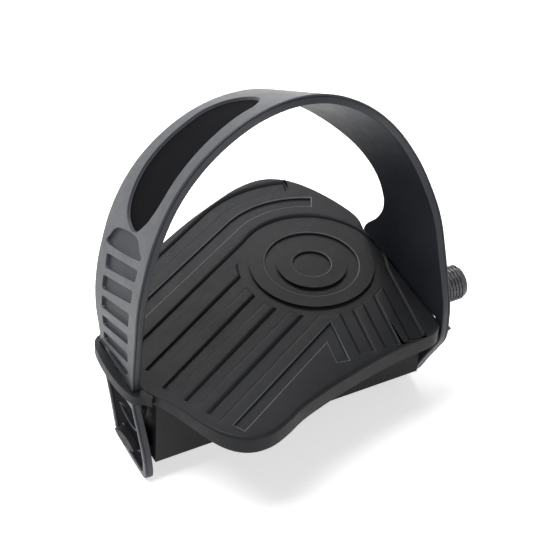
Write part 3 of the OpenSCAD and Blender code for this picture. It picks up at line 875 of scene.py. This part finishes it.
# %% Turn the copy of the spindle down to the root of the thread
bm = merged_bmesh("spindle")
for v in bm.verts:
    r = math.hypot(v.co.y, v.co.z) / MM
    if v.co.x / MM > -0.01 and ROOT_R < r < CREST_R + 0.07:
        v.co.y *= ROOT_R / r
        v.co.z *= ROOT_R / r
mark_sharp(bm)
turned_spindle = add_piece("turned_spindle", bm, shaft_steel)
smooth_all(turned_spindle)
settle(turned_spindle, "spindle", "black_steel", "spindle")

# %% [markdown]
# ## Camera
# The photograph looks down on the left pedal from its outer rear corner. Its place was worked out
# from corners that can be told apart in the picture, so the camera is given as a full rotation,
# with the small roll that the photograph has.

# %% Camera at the photograph's place
CAMERA_AT = Vector((-289.48, -379.58, 434.62))
CAMERA_RIGHT = Vector((0.8827, -0.4665, 0.0561)).normalized()
CAMERA_AHEAD = Vector((0.3784, 0.635, -0.6735)).normalized()
PHOTO_PX, FOCAL_PX = 550, 1800
camera_up = CAMERA_RIGHT.cross(CAMERA_AHEAD)
camera_data = bpy.data.cameras.new("portrait_camera")
camera_data.sensor_width = 36
camera_data.lens = FOCAL_PX / PHOTO_PX * camera_data.sensor_width
camera = bpy.data.objects.new("portrait_camera", camera_data)
axes = Matrix((CAMERA_RIGHT, camera_up, -CAMERA_AHEAD)).transposed()
camera.matrix_world = Matrix.Translation(CAMERA_AT * MM) @ axes.to_4x4()
scene.collection.objects.link(camera)
scene.camera = camera
print(f"lens: {camera_data.lens:.0f} mm")

# %% [markdown]
# ## Floor and light
# The photograph was taken on white. The floor is a pale diffuse sheet that still catches a soft
# shadow. Only to the camera and to reflections it adds a little of its own white, so the lamps
# can stay at a plain level.


# %% Floor and world
def see_through_rays(tree):
    """1 for camera, glossy and transmission rays."""
    path = tree.nodes.new("ShaderNodeLightPath")
    total = path.outputs["Is Camera Ray"]
    for kind in ("Is Glossy Ray", "Is Transmission Ray"):
        add = tree.nodes.new("ShaderNodeMath")
        add.operation = "MAXIMUM"
        tree.links.new(total, add.inputs[0])
        tree.links.new(path.outputs[kind], add.inputs[1])
        total = add.outputs[0]
    return total


FLOOR_DROP, FLOOR_HALF, FLOOR_GLOW = 0.6, 1500, 0.6
WORLD_LIGHT, WORLD_SEEN = 0.16, 1.0
floor_z = min(strap_low[2], body_low[2]) - FLOOR_DROP
bm = bmesh.new()
corners = [bm.verts.new(Vector((x * FLOOR_HALF, y * FLOOR_HALF, floor_z)) * MM)
           for x, y in ((-1, -1), (1, -1), (1, 1), (-1, 1))]
bm.faces.new(corners)
pale, tree, shader = new_finish("pale_floor", (0.86, 0.86, 0.86), 0.7, specular=0.1)
glow = tree.nodes.new("ShaderNodeEmission")
both = tree.nodes.new("ShaderNodeAddShader")
scale = tree.nodes.new("ShaderNodeMath")
scale.operation = "MULTIPLY"
scale.inputs[1].default_value = FLOOR_GLOW
tree.links.new(see_through_rays(tree), scale.inputs[0])
tree.links.new(scale.outputs[0], glow.inputs["Strength"])
tree.links.new(shader.outputs[0], both.inputs[0])
tree.links.new(glow.outputs[0], both.inputs[1])
tree.links.new(both.outputs[0], tree.nodes["Material Output"].inputs["Surface"])
floor = add_piece("pale_floor", bm, pale)

world = bpy.data.worlds.new("studio")
scene.world = world
world.use_nodes = True
tree = world.node_tree
back = tree.nodes["Background"]
back.inputs["Color"].default_value = (1, 1, 1, 1)
mix = tree.nodes.new("ShaderNodeMapRange")
mix.inputs["To Min"].default_value = WORLD_LIGHT
mix.inputs["To Max"].default_value = WORLD_SEEN
tree.links.new(see_through_rays(tree), mix.inputs["Value"])
tree.links.new(mix.outputs["Result"], back.inputs["Strength"])


# %% [markdown]
# Three soft boxes: a high one on the outer side for the tread and the shoulder of the strap, one
# beyond the toes for the bright edges, and a weak one on the camera's side for the skirt.


# %% Lamps
def softbox(name, at_mm, aim_mm, size_mm, watts):
    data = bpy.data.lights.new(name, "AREA")
    data.shape = "RECTANGLE"
    data.size, data.size_y = size_mm[0] * MM, size_mm[1] * MM
    data.energy = watts
    lamp = bpy.data.objects.new(name, data)
    aim = (Vector(aim_mm) - Vector(at_mm)).normalized().to_track_quat("-Z", "Y")
    lamp.matrix_world = Matrix.Translation(Vector(at_mm) * MM) @ aim.to_matrix().to_4x4()
    scene.collection.objects.link(lamp)


middle = (mid_x, 10, 20)
softbox("key_softbox", (-360, 60, 800), middle, (450, 450), 9)
softbox("rear_softbox", (60, 700, 560), middle, (600, 300), 5)
softbox("front_softbox", (-100, -800, 340), middle, (500, 300), 1.4)
scene.view_settings.view_transform = "Standard"
print("lamps: 3, floor at", round(floor_z, 1), "mm")
